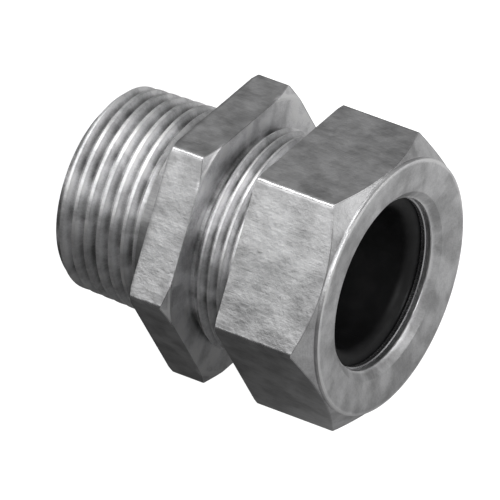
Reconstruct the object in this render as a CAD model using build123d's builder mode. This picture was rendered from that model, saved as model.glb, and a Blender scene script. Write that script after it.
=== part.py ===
"""Straight cord and conduit connector: tapered male thread, body hexagon,
gland thread, compression nut, slip washer and rubber bushing.
Axis along X, origin on the axis in the shoulder plane of the body hexagon,
+X toward the cord opening, hexagon flats square to Z. Millimetres."""
import os
from math import atan, degrees, radians, sqrt, tan

from build123d import *

os.makedirs("parts", exist_ok=True)

# Hexagons
ACROSS_FLATS = 33.3375
CORNER_R = ACROSS_FLATS / sqrt(3)
CORNER_ROUND = 0.7

# Tapered male thread, 3/4-14
NPT_PITCH = 25.4 / 14
NPT_END_X = -15.3
NPT_END_R = 13.02
NPT_TAPER = 1 / 32
NPT_CONE = degrees(atan(NPT_TAPER))
NPT_CREST = 0.42
NPT_DEPTH = 1.03
NECK_X = -2.9
NECK_R = 13.30

# Body
HEX_LENGTH = 5.2
HEX_BACK_R = 18.60
HEX_FACE_R = 17.80
HEX_CHAMFER = radians(25)
THROAT_R = 10.0
THROAT_ROUND = 1.1
SEAT_X = 9.9
SEAT_R = 11.2
SEAT_TOP_X = 14.7
MOUTH_X = 18.4
MOUTH_R = 12.5

# Gland thread, 1-1/8-18
GLAND_PITCH = 25.4 / 18
GLAND_R = 14.29
GLAND_CREST = 0.30
GLAND_DEPTH = 0.83
GROOVE_END_X = 6.0
GROOVE_DEPTH = 0.25
GLAND_START_X = 5.2
FLANK = tan(radians(30))

# Compression nut
NUT_BACK_X = 12.45
NUT_FRONT_X = 25.72
COLLAR_X = 25.15
COLLAR_R = 16.55
COLLAR_ROUND = 0.3
NUT_CHAMFER = radians(34)
DISH_R = 15.6
DISH_DEPTH = 0.4
LIP = 1.94
OPENING_R = 11.10
SINK_R = 12.18
SINK_DEPTH = 0.95
RELIEF_R = 14.6
RELIEF_X = 20.7
NUT_BORE_R = 13.75
THREAD_GAP = 0.11
THREAD_LEAD = 4

# Washer and bushing
WASHER_T = 0.75
WASHER_IN_R = 10.88
WASHER_OUT_R = 13.35
AXIAL_GAP = 0.05
BUSHING_R = 12.2
BUSHING_BORE_R = 9.1
BUSHING_TAIL_X = 10.15
BUSHING_TAIL_R = 10.9
BUSHING_FLARE = 1.4

EMBED = 0.12


def npt_root(x):
    """Root radius of the tapered thread at a station along the axis."""
    return NPT_END_R - NPT_DEPTH + (x - NPT_END_X) * NPT_TAPER


# Ridge of the tapered thread, trimmed to the turned outline
npt_start = NPT_END_X - 0.9
npt_base = NPT_CREST / 2 + (NPT_DEPTH + EMBED) * FLANK
with BuildPart() as npt_ridge:
    with BuildLine() as npt_path:
        Helix(
            pitch=NPT_PITCH,
            height=NECK_X - 0.1 - npt_start,
            radius=npt_root(npt_start),
            center=(npt_start, 0, 0),
            direction=(1, 0, 0),
            cone_angle=NPT_CONE,
        )
    start = npt_path.line @ 0
    with BuildSketch(Plane(start, x_dir=(0, start.Y, start.Z), z_dir=npt_path.line % 0)):
        Polygon(
            (-EMBED, -npt_base),
            (NPT_DEPTH, -NPT_CREST / 2),
            (NPT_DEPTH, NPT_CREST / 2),
            (-EMBED, npt_base),
            align=None,
        )
    sweep(path=npt_path.line, is_frenet=True)
    with BuildSketch(Plane.XZ):
        Polygon(
            (NPT_END_X, 0),
            (NPT_END_X, NPT_END_R - 0.95),
            (NPT_END_X + 1.1, NPT_END_R + 0.1),
            (NECK_X - 0.95, NPT_END_R + 0.45),
            (NECK_X - 0.1, NECK_R - 0.35),
            (NECK_X - 0.1, 0),
            align=None,
        )
    revolve(axis=Axis.X, mode=Mode.INTERSECT)

# Ridge of the gland thread, trimmed at the relief groove and the mouth
gland_root = GLAND_R - GLAND_DEPTH
gland_base = GLAND_CREST / 2 + (GLAND_DEPTH + EMBED) * FLANK
with BuildPart() as gland_ridge:
    with BuildLine() as gland_path:
        Helix(
            pitch=GLAND_PITCH,
            height=MOUTH_X + 0.6 - GLAND_START_X,
            radius=gland_root,
            center=(GLAND_START_X, 0, 0),
            direction=(1, 0, 0),
        )
    start = gland_path.line @ 0
    with BuildSketch(Plane(start, x_dir=(0, start.Y, start.Z), z_dir=gland_path.line % 0)):
        Polygon(
            (-EMBED, -gland_base),
            (GLAND_DEPTH, -GLAND_CREST / 2),
            (GLAND_DEPTH, GLAND_CREST / 2),
            (-EMBED, gland_base),
            align=None,
        )
    sweep(path=gland_path.line, is_frenet=True)
    with BuildSketch(Plane.XZ):
        Polygon(
            (0, 0),
            (0, gland_root - 0.35),
            (GROOVE_END_X - 0.5, gland_root - 0.35),
            (GROOVE_END_X + 0.6, GLAND_R + 0.1),
            (MOUTH_X - 1.3, GLAND_R + 0.1),
            (MOUTH_X, GLAND_R - 1.15),
            (MOUTH_X, 0),
            align=None,
        )
    revolve(axis=Axis.X, mode=Mode.INTERSECT)

# Body hexagon with both faces chamfered
back_cone = (CORNER_R + 0.5 - HEX_BACK_R) * tan(HEX_CHAMFER)
front_cone = (CORNER_R + 0.5 - HEX_FACE_R) * tan(HEX_CHAMFER)
with BuildPart() as body_hexagon:
    with BuildSketch(Plane.YZ):
        RegularPolygon(radius=CORNER_R, side_count=6)
    extrude(amount=HEX_LENGTH)
    fillet(body_hexagon.edges().filter_by(Axis.X), CORNER_ROUND)
    with BuildSketch(Plane.XZ):
        Polygon(
            (0, 0),
            (0, HEX_BACK_R),
            (back_cone, CORNER_R + 0.5),
            (HEX_LENGTH - front_cone, CORNER_R + 0.5),
            (HEX_LENGTH, HEX_FACE_R),
            (HEX_LENGTH, 0),
            align=None,
        )
    revolve(axis=Axis.X, mode=Mode.INTERSECT)

# Hub: turned core, threads, hexagon, then the stepped bore
with BuildPart() as hub_body:
    with BuildSketch(Plane.XZ):
        Polygon(
            (NPT_END_X, 0),
            (NPT_END_X, npt_root(NPT_END_X) - 0.3),
            (NPT_END_X + 0.3, npt_root(NPT_END_X)),
            (NECK_X - 0.6, npt_root(NECK_X - 0.6)),
            (NECK_X, NECK_R),
            (0.5, NECK_R),
            (0.5, gland_root - GROOVE_DEPTH),
            (GROOVE_END_X - 0.3, gland_root - GROOVE_DEPTH),
            (GROOVE_END_X, gland_root),
            (MOUTH_X - 0.25, gland_root),
            (MOUTH_X, gland_root - 0.25),
            (MOUTH_X, 0),
            align=None,
        )
    revolve(axis=Axis.X)
    add(npt_ridge.part)
    add(gland_ridge.part)
    add(body_hexagon.part)
    with BuildSketch(Plane.XZ):
        with BuildLine():
            Polyline(
                (NPT_END_X - 1, 0),
                (NPT_END_X - 1, THROAT_R + THROAT_ROUND),
                (NPT_END_X, THROAT_R + THROAT_ROUND),
            )
            ThreePointArc(
                (NPT_END_X, THROAT_R + THROAT_ROUND),
                (NPT_END_X + 0.293 * THROAT_ROUND, THROAT_R + 0.293 * THROAT_ROUND),
                (NPT_END_X + THROAT_ROUND, THROAT_R),
            )
            Polyline(
                (NPT_END_X + THROAT_ROUND, THROAT_R),
                (SEAT_X - 0.4, THROAT_R),
                (SEAT_X, THROAT_R + 0.4),
                (SEAT_X, SEAT_R),
                (SEAT_TOP_X, MOUTH_R),
                (MOUTH_X - 0.3, MOUTH_R),
                (MOUTH_X, MOUTH_R + 0.3),
                (MOUTH_X + 1, MOUTH_R + 0.3),
                (MOUTH_X + 1, 0),
                (NPT_END_X - 1, 0),
            )
        make_face()
    revolve(axis=Axis.X, mode=Mode.SUBTRACT)
hub_body.part.label = "hub_body"
export_step(hub_body.part, "parts/hub_body.step")

# Cutter for the nut thread: the body ridge, in phase, with running room, kept to the bore
cutter_start = GLAND_START_X + THREAD_LEAD * GLAND_PITCH
cutter_depth = GLAND_R + 0.2 - NUT_BORE_R
cutter_base = GLAND_CREST / 2 + THREAD_GAP + (GLAND_R - NUT_BORE_R + EMBED) * FLANK
cutter_tip = GLAND_CREST / 2 + THREAD_GAP - 0.2 * FLANK
with BuildPart() as thread_cutter:
    with BuildLine() as cutter_path:
        Helix(
            pitch=GLAND_PITCH,
            height=RELIEF_X + 0.7 - cutter_start,
            radius=NUT_BORE_R,
            center=(cutter_start, 0, 0),
            direction=(1, 0, 0),
        )
    start = cutter_path.line @ 0
    with BuildSketch(Plane(start, x_dir=(0, start.Y, start.Z), z_dir=cutter_path.line % 0)):
        Polygon(
            (-EMBED, -cutter_base),
            (cutter_depth, -cutter_tip),
            (cutter_depth, cutter_tip),
            (-EMBED, cutter_base),
            align=None,
        )
    sweep(path=cutter_path.line, is_frenet=True)
    with BuildSketch(Plane.XZ):
        Polygon(
            (NUT_BACK_X - 0.2, NUT_BORE_R - 0.08),
            (NUT_BACK_X - 0.2, GLAND_R + 0.5),
            (RELIEF_X + 0.5, GLAND_R + 0.5),
            (RELIEF_X + 0.5, NUT_BORE_R - 0.08),
            align=None,
        )
    revolve(axis=Axis.X, mode=Mode.INTERSECT)

# Compression nut: chamfered hexagon, stepped bore, helical thread
nut_cone = (CORNER_R + 0.5 - COLLAR_R) * tan(NUT_CHAMFER)
face_x = NUT_FRONT_X - DISH_DEPTH
with BuildPart() as compression_nut:
    with BuildSketch(Plane.YZ.offset(NUT_BACK_X)):
        RegularPolygon(radius=CORNER_R, side_count=6)
    extrude(amount=NUT_FRONT_X - NUT_BACK_X)
    fillet(compression_nut.edges().filter_by(Axis.X), CORNER_ROUND)
    with BuildSketch(Plane.XZ):
        Polygon(
            (NUT_BACK_X, 0),
            (NUT_BACK_X, CORNER_R - 0.55),
            (NUT_BACK_X + 0.35, CORNER_R + 0.5),
            (COLLAR_X - nut_cone, CORNER_R + 0.5),
            (COLLAR_X, COLLAR_R),
            (NUT_FRONT_X - COLLAR_ROUND, COLLAR_R),
            (NUT_FRONT_X - 0.293 * COLLAR_ROUND, COLLAR_R - 0.293 * COLLAR_ROUND),
            (NUT_FRONT_X, COLLAR_R - COLLAR_ROUND),
            (NUT_FRONT_X, DISH_R),
            (face_x, SINK_R),
            (face_x, 0),
            align=None,
        )
    revolve(axis=Axis.X, mode=Mode.INTERSECT)
    with BuildSketch(Plane.XZ):
        Polygon(
            (NUT_BACK_X - 1, 0),
            (NUT_BACK_X - 1, RELIEF_R + 0.15),
            (NUT_BACK_X, RELIEF_R + 0.15),
            (NUT_BACK_X + 1.25, NUT_BORE_R),
            (RELIEF_X, NUT_BORE_R),
            (RELIEF_X + 0.6, RELIEF_R),
            (NUT_FRONT_X - LIP, RELIEF_R),
            (NUT_FRONT_X - LIP, OPENING_R),
            (face_x - SINK_DEPTH - 0.08, OPENING_R),
            (face_x - SINK_DEPTH + 0.04, OPENING_R + 0.04),
            (face_x, SINK_R),
            (NUT_FRONT_X + 1, SINK_R),
            (NUT_FRONT_X + 1, 0),
            align=None,
        )
    revolve(axis=Axis.X, mode=Mode.SUBTRACT)
    add(thread_cutter.part, mode=Mode.SUBTRACT)
compression_nut.part.label = "compression_nut"
export_step(compression_nut.part, "parts/compression_nut.step")

# Slip washer between the nut lip and the bushing
washer_back = NUT_FRONT_X - LIP - AXIAL_GAP - WASHER_T
with BuildPart() as friction_washer:
    with BuildSketch(Plane.YZ.offset(washer_back)):
        Circle(WASHER_OUT_R)
        Circle(WASHER_IN_R, mode=Mode.SUBTRACT)
    extrude(amount=WASHER_T)
    chamfer(friction_washer.edges().filter_by(GeomType.CIRCLE), 0.12)
friction_washer.part.label = "friction_washer"
export_step(friction_washer.part, "parts/friction_washer.step")

# Rubber bushing: plain front, tapered tail, flared mouth
bushing_front = washer_back - AXIAL_GAP
with BuildPart() as sealing_bushing:
    with BuildSketch(Plane.XZ):
        Polygon(
            (BUSHING_TAIL_X, BUSHING_BORE_R),
            (BUSHING_TAIL_X, BUSHING_TAIL_R),
            (SEAT_TOP_X + 0.3, BUSHING_R),
            (bushing_front, BUSHING_R),
            (bushing_front, BUSHING_BORE_R + BUSHING_FLARE),
            (bushing_front - 1.6, BUSHING_BORE_R),
            align=None,
        )
    revolve(axis=Axis.X)
    fillet(
        sealing_bushing.edges().filter_by(GeomType.CIRCLE).group_by(Axis.X)[0],
        0.5,
    )
    fillet(
        sealing_bushing.edges().filter_by(GeomType.CIRCLE).group_by(Axis.X)[-1],
        0.35,
    )
sealing_bushing.part.label = "sealing_bushing"
export_step(sealing_bushing.part, "parts/sealing_bushing.step")
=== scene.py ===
"""Straight compression connector: materials, rubber bushing, studio and camera."""
from math import cos, pi, radians, sin, sqrt

import bmesh
import bpy
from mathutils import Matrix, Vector


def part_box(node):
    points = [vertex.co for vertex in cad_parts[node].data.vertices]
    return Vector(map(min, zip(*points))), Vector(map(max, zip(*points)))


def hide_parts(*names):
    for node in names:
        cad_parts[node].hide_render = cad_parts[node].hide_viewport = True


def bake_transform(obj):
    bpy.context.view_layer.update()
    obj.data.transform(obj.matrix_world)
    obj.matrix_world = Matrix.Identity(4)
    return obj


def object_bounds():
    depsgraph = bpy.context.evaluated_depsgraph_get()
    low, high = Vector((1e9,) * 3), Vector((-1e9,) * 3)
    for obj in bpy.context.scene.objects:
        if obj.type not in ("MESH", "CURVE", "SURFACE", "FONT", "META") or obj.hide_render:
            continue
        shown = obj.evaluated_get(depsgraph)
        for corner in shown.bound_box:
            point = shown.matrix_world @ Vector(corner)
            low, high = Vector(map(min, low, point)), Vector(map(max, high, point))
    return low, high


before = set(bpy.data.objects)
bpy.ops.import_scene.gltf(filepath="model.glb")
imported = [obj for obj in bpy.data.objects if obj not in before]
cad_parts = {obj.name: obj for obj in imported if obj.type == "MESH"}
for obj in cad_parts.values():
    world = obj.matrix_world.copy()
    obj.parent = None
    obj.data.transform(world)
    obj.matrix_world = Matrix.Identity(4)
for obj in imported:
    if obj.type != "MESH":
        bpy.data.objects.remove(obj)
cad_low, cad_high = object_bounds()
nut_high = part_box("compression_nut")[1]
bush_low, bush_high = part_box("sealing_bushing")

# Sizes of the CAD pieces in millimetres, the fitting's axis along X
MM = 0.001
HALF_FLAT = cad_high.z / MM
NUT_FRONT_X = nut_high.x / MM
NUT_FACE_R = 16.4
OPENING_DEPTH = 1.35
OPENING_R = 11.1
HEX_FACE_X = 5.2
HEX_FACE_R = 17.8
NECK_X = -1.5
TAPER = 1 / 32
TAPER_R = 13.48
GLAND_R = 14.29
BUSHING_BORE = 9.1
BUSHING_TAIL_R = 10.96
BUSHING_TAPER = 4.9
NOSE_ROUND = 1.5
EDGE_ROUND = 0.5

# ---------------------------------------------------------------- shader help


class Graph:
    """Short names for the nodes that the materials here are built from."""

    def __init__(self, tree):
        self.tree = tree
        self.tree.nodes.clear()

    def node(self, kind, inputs=(), **settings):
        made = self.tree.nodes.new(kind)
        for key, value in settings.items():
            setattr(made, key, value)
        for key, value in dict(inputs).items():
            self.feed(made.inputs[key], value)
        return made

    def feed(self, socket, value):
        """Link an input to another node's output, or set it to a constant."""
        if isinstance(value, bpy.types.NodeSocket):
            self.tree.links.new(value, socket)
        else:
            socket.default_value = value

    def math(self, operation, a, b=0.0):
        return self.node("ShaderNodeMath", {0: a, 1: b}, operation=operation).outputs[0]

    def plus(self, a, b):
        return self.math("ADD", a, b)

    def minus(self, a, b):
        return self.math("SUBTRACT", a, b)

    def times(self, a, b):
        return self.math("MULTIPLY", a, b)

    def larger(self, a, b):
        return self.math("MAXIMUM", a, b)

    def smaller(self, a, b):
        return self.math("MINIMUM", a, b)

    def size(self, a):
        return self.math("ABSOLUTE", a)

    def gap(self, a, b):
        """How far apart two values are."""
        return self.size(self.minus(a, b))

    def mixed(self, amount, low, high):
        """A value that runs from low, where amount is 0, to high, where it is 1."""
        return self.plus(self.times(amount, high - low), low)

    def ramp(self, value, low, high, to_low=0.0, to_high=1.0):
        made = self.node(
            "ShaderNodeMapRange",
            {"Value": value, "From Min": low, "From Max": high, "To Min": to_low, "To Max": to_high},
            interpolation_type="SMOOTHSTEP",
        )
        return made.outputs["Result"]

    def noise(self, vector, scale, detail=4.0, rough=0.55):
        made = self.node(
            "ShaderNodeTexNoise",
            {"Vector": vector, "Scale": scale, "Detail": detail, "Roughness": rough},
        )
        return made.outputs["Fac"]

    def vector(self, x, y, z):
        return self.node("ShaderNodeCombineXYZ", {0: x, 1: y, 2: z}).outputs[0]

    def scaled(self, vector, factor):
        made = self.node("ShaderNodeVectorMath", {0: vector, 3: factor}, operation="SCALE")
        return made.outputs[0]

    def split(self, vector):
        return self.node("ShaderNodeSeparateXYZ", {0: vector}).outputs

    def tint(self, amount, a, b):
        """Colour a where amount is 0, b where it is 1."""
        inputs = {0: amount, 6: (*a, 1.0), 7: (*b, 1.0)}
        return self.node("ShaderNodeMix", inputs, data_type="RGBA").outputs[2]

    def bump(self, height, strength, distance, normal=None):
        inputs = {"Height": height, "Strength": strength, "Distance": distance}
        if normal is not None:
            inputs["Normal"] = normal
        return self.node("ShaderNodeBump", inputs).outputs[0]

    def finish(self, output, shader):
        """Link a shader to the output node of a material or of the world."""
        end = self.node(output)
        self.tree.links.new(shader.outputs[0], end.inputs[0])


def new_material(name):
    made = bpy.data.materials.new(name)
    made.use_nodes = True
    return made, Graph(made.node_tree)


def finish_material(graph, colour, metallic, roughness, normal, **others):
    inputs = {"Base Color": colour, "Metallic": metallic, "Roughness": roughness, "Normal": normal}
    shader = graph.node("ShaderNodeBsdfPrincipled", {**inputs, **others})
    graph.finish("ShaderNodeOutputMaterial", shader)


def axis_coordinates(g):
    """Object position in millimetres: the vector, its x, y and z, and the radius about X."""
    place = g.scaled(g.node("ShaderNodeTexCoord").outputs["Object"], 1 / MM)
    x, y, z = g.split(place)
    square = g.plus(g.times(y, y), g.times(z, z))
    return place, x, y, z, g.math("SQRT", square)


# ---------------------------------------------------------------- materials


def hexagon_masks(g, y, z):
    """Two masks: 1 on the hexagon's flats, and 1 near the corners between them."""
    first = g.size(z)
    half_z = g.times(z, 0.5)
    side = g.times(y, sqrt(3) / 2)
    second = g.size(g.plus(half_z, side))
    third = g.gap(half_z, side)
    high = g.larger(g.larger(first, second), third)
    low = g.smaller(g.smaller(first, second), third)
    middle = g.minus(g.minus(g.plus(g.plus(first, second), third), high), low)
    on_flat = g.ramp(high, HALF_FLAT - 0.14, HALF_FLAT - 0.10)
    corner = g.ramp(middle, HALF_FLAT - 0.60, HALF_FLAT - 0.12)
    return on_flat, corner


def turned_metal(name, grey, turned_grey, rough, edges, roots):
    """Satin metal of a part turned from hexagonal bar: drawn flats, rings on turned faces,
    edges rubbed bright in patches plus a painted highlight at the (x, radius) pairs given,
    thread roots dull and darkened with grime and painted shade, and painted shade on the neck beside
    the hexagon."""
    material, g = new_material(name)
    place, x, y, z, r = axis_coordinates(g)
    on_flat, corner = hexagon_masks(g, y, z)
    turned = g.minus(1.0, on_flat)

    # Rings of the turning tool, die lines along the flats, clouding and grain
    rings = g.noise(g.vector(g.times(x, 5.0), g.times(r, 5.0), 0.0), 1.0, 3.0)
    fine = g.noise(g.vector(g.times(x, 16.0), g.times(r, 16.0), 3.0), 1.0, 2.0)
    drawn = g.noise(g.vector(g.times(x, 0.22), g.times(y, 6.0), g.times(z, 6.0)), 1.0, 3.0)
    mottle = g.noise(place, 0.42, 5.0, 0.62)
    grain = g.noise(place, 3.4, 3.0)
    blotch = g.ramp(g.noise(place, 0.22, 3.0, 0.5), 0.40, 0.60)
    patchy = g.ramp(g.noise(place, 0.9, 4.0, 0.6), 0.34, 0.62)

    # Edges rubbed bright in patches, plus a painted highlight along the listed edges; thread roots
    # dull, darkened with grime and painted shade
    rim = 0.0
    for edge_x, edge_r in edges:
        across = g.ramp(g.gap(r, edge_r), 0.0, 0.5, 1.0, 0.0)
        along = g.ramp(g.gap(x, edge_x), 0.0, 0.6, 1.0, 0.0)
        rim = g.larger(rim, g.times(across, along))
    # Patchy wear on the hexagon corners and edges, which also carries the painted highlight along
    # the listed edges
    worn_and_highlight = g.times(g.larger(g.times(corner, on_flat), rim), g.mixed(patchy, 0.4, 1.0))
    # Mask of the thread roots, darkened below with grime and painted shade
    root_grime_and_shade = g.times(roots(g, x, r), turned)

    tone = g.mixed(g.ramp(mottle, 0.32, 0.68), 0.62, 0.86)
    tone = g.plus(tone, g.times(blotch, 0.22))
    tone = g.plus(tone, g.times(g.ramp(drawn, 0.35, 0.65), 0.10))
    tone = g.times(tone, g.mixed(grain, 0.95, 1.05))
    tone = g.plus(tone, g.times(worn_and_highlight, 0.34))
    # Painted highlight: a steady bright band along the listed edges
    tone = g.plus(tone, g.times(rim, 0.26))
    tone = g.times(tone, g.mixed(turned, grey, turned_grey))
    # Painted shade with grime: thread roots darkened
    tone = g.minus(tone, g.times(root_grime_and_shade, 0.34))
    # Painted shade: the neck beside the hexagon darkened as if shaded by it
    neck_painted_shade = g.ramp(g.gap(x, NECK_X), 1.2, 2.0, 0.42, 1.0)
    colour = g.scaled((1.0, 1.0, 1.01), g.times(tone, neck_painted_shade))

    roughness = g.mixed(mottle, rough - 0.08, rough + 0.08)
    roughness = g.plus(roughness, g.times(turned, 0.10))
    roughness = g.plus(roughness, g.times(root_grime_and_shade, 0.08))
    roughness = g.minus(roughness, g.times(worn_and_highlight, 0.09))

    height = g.times(turned, g.plus(rings, g.times(fine, 0.45)))
    height = g.plus(height, g.times(on_flat, g.times(drawn, 0.55)))
    height = g.plus(height, g.times(grain, 0.35))
    normal = g.bump(height, 0.28, 0.00005)
    normal = g.bump(mottle, 0.22, 0.0005, normal)
    finish_material(g, colour, 1.0, roughness, normal)
    return material


def hub_roots(g, x, r):
    """How deep a point lies in the tapered thread or in the gland thread."""
    taper = g.plus(g.times(x, TAPER), TAPER_R)
    gland = g.times(g.ramp(x, 2.0, 4.0), g.minus(GLAND_R, taper))
    depth = g.minus(g.plus(taper, gland), r)
    return g.times(g.ramp(depth, 0.2, 0.85), g.ramp(depth, 1.2, 1.5, 1.0, 0.0))


def nut_roots(g, x, r):
    """How deep a point lies in the nut's threaded bore, clear of its front face."""
    return g.times(g.ramp(r, 14.6, 15.4, 1.0, 0.0), g.ramp(x, 23.0, 23.6, 1.0, 0.0))


def stamped_steel(name):
    """Bright stamped washer with a fine rolling grain."""
    material, g = new_material(name)
    place, x, y, z, _ = axis_coordinates(g)
    rolled = g.noise(g.vector(g.times(x, 2.0), g.times(y, 9.0), g.times(z, 0.7)), 1.0, 3.0)
    colour = g.scaled((0.72, 0.72, 0.735), g.mixed(g.noise(place, 0.8, 4.0), 0.84, 1.04))
    roughness = g.mixed(rolled, 0.20, 0.34)
    finish_material(g, colour, 1.0, roughness, g.bump(rolled, 0.2, 0.00003))
    return material


def moulded_rubber(name):
    """Black moulded rubber: soft pebble, bloom in patches, a faint mould line."""
    material, g = new_material(name)
    place, _, y, _, _ = axis_coordinates(g)
    pebble = g.noise(place, 5.0, 5.0, 0.65)
    bloom = g.ramp(g.noise(place, 0.35, 4.0), 0.42, 0.75)
    line = g.ramp(g.size(y), 0.0, 0.12, 1.0, 0.0)
    colour = g.tint(bloom, (0.006, 0.006, 0.0065), (0.014, 0.014, 0.015))
    roughness = g.mixed(pebble, 0.42, 0.58)
    normal = g.bump(g.plus(pebble, g.times(line, 0.8)), 0.35, 0.00006)
    finish_material(g, colour, 0.0, roughness, normal, **{"Specular IOR Level": 0.35})
    return material


# ---------------------------------------------------------------- CAD nodes


def dress(node, material):
    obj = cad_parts[node]
    obj.data.materials.clear()
    obj.data.materials.append(material)


# Edges that get patchy wear and a painted highlight
hub_edges = [(HEX_FACE_X, HEX_FACE_R)]
nut_edges = [(NUT_FRONT_X, NUT_FACE_R), (NUT_FRONT_X - OPENING_DEPTH, OPENING_R)]
dress("hub_body", turned_metal("hub_metal", 0.54, 0.98, 0.33, hub_edges, hub_roots))
dress("compression_nut", turned_metal("nut_metal", 0.54, 0.74, 0.32, nut_edges, nut_roots))
dress("friction_washer", stamped_steel("washer_steel"))

# ---------------------------------------------------------------- bushing


def lathe(name, outline, steps):
    """Closed ring swept round the X axis from (x, radius) points in millimetres."""
    mesh = bmesh.new()
    rings = []
    for i in range(steps):
        a = 2 * pi * i / steps
        rings.append(
            [mesh.verts.new((px * MM, pr * MM * cos(a), pr * MM * sin(a))) for px, pr in outline]
        )
    count = len(outline)
    for i in range(steps):
        here, there = rings[i], rings[(i + 1) % steps]
        for j in range(count):
            k = (j + 1) % count
            mesh.faces.new((here[j], here[k], there[k], there[j]))
    bmesh.ops.recalc_face_normals(mesh, faces=mesh.faces)
    for face in mesh.faces:
        face.smooth = True
    data = bpy.data.meshes.new(name)
    mesh.to_mesh(data)
    mesh.free()
    obj = bpy.data.objects.new(name, data)
    bpy.context.scene.collection.objects.link(obj)
    return obj


def run(a, b, count):
    """Points from a up to but not including b."""
    return [
        (a[0] + (b[0] - a[0]) * i / count, a[1] + (b[1] - a[1]) * i / count) for i in range(count)
    ]


def round_corner(centre, radius, start, end, count=6):
    """Points of an arc in the (x, radius) plane, angles in degrees."""
    return [
        (
            centre[0] + radius * cos(radians(start + (end - start) * i / count)),
            centre[1] + radius * sin(radians(start + (end - start) * i / count)),
        )
        for i in range(count + 1)
    ]


tail = bush_low.x / MM
nose = bush_high.x / MM
outer = bush_high.z / MM
bore = BUSHING_BORE
shoulder = tail + BUSHING_TAPER
rim = nose - EDGE_ROUND
flare = nose - NOSE_ROUND
outline = []
outline += round_corner((tail + 0.6, bore + 0.6), 0.6, 270, 180)
outline += run((tail, bore + 0.9), (tail, BUSHING_TAIL_R - 0.66), 2)
outline += round_corner((tail + EDGE_ROUND, BUSHING_TAIL_R - 0.56), EDGE_ROUND, 180, 108)
outline += run((tail + 0.7, BUSHING_TAIL_R), (shoulder, outer), 8)
outline += run((shoulder, outer), (rim, outer), 12)
outline += round_corner((rim, outer - EDGE_ROUND), EDGE_ROUND, 90, 0)
outline += run((nose, outer - 0.8), (nose, bore + 2.0), 3)
outline += round_corner((flare, bore + NOSE_ROUND), NOSE_ROUND, 0, -90, 10)
outline += run((flare - 0.4, bore), (tail + 0.7, bore), 18)
bushing = lathe("bushing_sleeve", outline, 128)
bushing.data.materials.append(moulded_rubber("bushing_rubber"))
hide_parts("sealing_bushing")
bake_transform(bushing)

# ---------------------------------------------------------------- studio


def toward(azimuth, elevation):
    """Unit vector toward a place round the object, azimuth 0 in front of it on -Y."""
    a, e = radians(azimuth), radians(elevation)
    return Vector((sin(a) * cos(e), -cos(a) * cos(e), sin(e)))


def plane(name, half, height):
    data = bpy.data.meshes.new(name)
    corners = [(-half, -half, height), (half, -half, height), (half, half, height)]
    data.from_pydata([*corners, (-half, half, height)], [], [(0, 1, 2, 3)])
    obj = bpy.data.objects.new(name, data)
    bpy.context.scene.collection.objects.link(obj)
    return obj


WHITE = (1.0, 1.0, 1.0, 1.0)
FLOOR_HALF = 3.0

# The floor that the camera sees: white, and no part of the object's lighting
floor = plane("floor", FLOOR_HALF, cad_low.z - 0.00004)
floor_paint, g = new_material("floor_paint")
diffuse = g.node("ShaderNodeBsdfDiffuse", {"Color": (0.9, 0.9, 0.9, 1.0)}).outputs[0]
glow = g.node("ShaderNodeEmission", {"Color": WHITE, "Strength": 0.95}).outputs[0]
g.finish("ShaderNodeOutputMaterial", g.node("ShaderNodeAddShader", {0: diffuse, 1: glow}))
floor.data.materials.append(floor_paint)
floor.visible_diffuse = False
floor.visible_glossy = False
floor.visible_shadow = False

# The light that a table throws back up, dim under the hub and stronger past the nut
bounce = plane("floor_bounce", FLOOR_HALF, cad_low.z - 0.00002)
bounce_paint, g = new_material("bounce_paint")
x, y, _ = g.split(g.node("ShaderNodeTexCoord").outputs["Object"])
away = g.plus(g.times(x, 0.8), g.times(y, 0.6))
strength = g.plus(g.ramp(away, -0.002, 0.030, 0.08, 0.33), g.ramp(away, 0.030, 0.070, 0.0, 0.18))
glow = g.node("ShaderNodeEmission", {"Color": WHITE, "Strength": strength})
g.finish("ShaderNodeOutputMaterial", glow)
bounce.data.materials.append(bounce_paint)
bounce.visible_camera = False
bounce.visible_shadow = False

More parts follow.
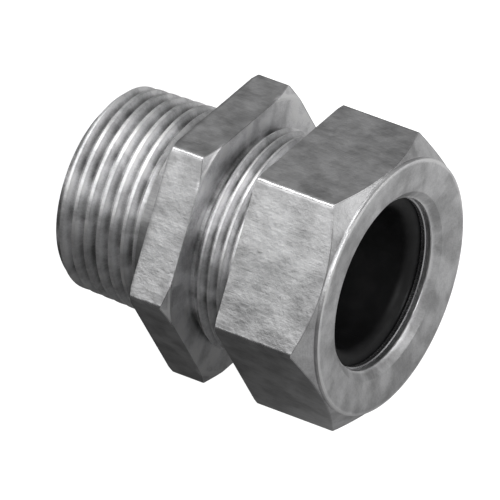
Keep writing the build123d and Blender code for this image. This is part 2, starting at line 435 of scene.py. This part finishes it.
world = bpy.data.worlds.new("studio")
bpy.context.scene.world = world
world.use_nodes = True
g = Graph(world.node_tree)
up = g.split(g.node("ShaderNodeTexCoord").outputs["Generated"])[2]
shade = g.ramp(up, -0.2, 0.9, 0.16, 0.34)
surround = g.node("ShaderNodeBackground", {"Strength": shade}).outputs[0]
pale = g.node("ShaderNodeBackground", {"Color": WHITE, "Strength": 1.0}).outputs[0]
seen = g.node("ShaderNodeLightPath").outputs["Is Camera Ray"]
g.finish("ShaderNodeOutputWorld", g.node("ShaderNodeMixShader", {0: seen, 1: surround, 2: pale}))

MIDDLE = Vector((0.005, 0, 0))


def softbox(name, azimuth, elevation, distance, width, height, radiance):
    """A rectangular light that faces the fitting's middle, sizes in metres."""
    light = bpy.data.lights.new(name, "AREA")
    light.shape = "RECTANGLE"
    light.size = width
    light.size_y = height
    light.energy = radiance * pi * width * height
    obj = bpy.data.objects.new(name, light)
    back = toward(azimuth, elevation)
    obj.location = MIDDLE + back * distance
    obj.rotation_mode = "QUATERNION"
    obj.rotation_quaternion = back.to_track_quat("Z", "Y")
    obj.visible_camera = False
    bpy.context.scene.collection.objects.link(obj)


softbox("key", -28, 32, 0.2, 0.17, 0.10, 1.25)
softbox("crown", -72, 62, 0.5, 0.24, 0.20, 3.0)
softbox("left", -100, 22, 0.5, 0.30, 0.30, 1.8)
softbox("side", 112, 16, 0.6, 0.34, 0.22, 1.5)
softbox("front", 42, 40, 0.5, 0.24, 0.20, 3.6)
softbox("top", -150, 52, 0.8, 0.5, 0.4, 0.25)

# ---------------------------------------------------------------- camera

AZIMUTH, ELEVATION = 33.1, 34.3
LENS = 1000.0
SENSOR = 36.0
WIDTH = 0.06084
NOSE_INSET, AIM_LEFT, AIM_UP = 0.00051, 0.01678, 0.00443
back = toward(AZIMUTH, ELEVATION)
right = Vector((cos(radians(AZIMUTH)), sin(radians(AZIMUTH)), 0.0))
upward = back.cross(right)
aim = Vector((cad_high.x - NOSE_INSET, 0, 0)) - right * AIM_LEFT + upward * AIM_UP
camera_data = bpy.data.cameras.new("camera")
camera_data.lens = LENS
camera_data.sensor_width = SENSOR
camera_data.clip_start = 0.05
camera_data.clip_end = 10.0
camera = bpy.data.objects.new("camera", camera_data)
camera.rotation_mode = "QUATERNION"
camera.location = aim + back * (WIDTH * LENS / SENSOR)
camera.rotation_quaternion = back.to_track_quat("Z", "Y")
bpy.context.scene.collection.objects.link(camera)
bpy.context.scene.camera = camera
bpy.context.scene.view_settings.view_transform = "Standard"
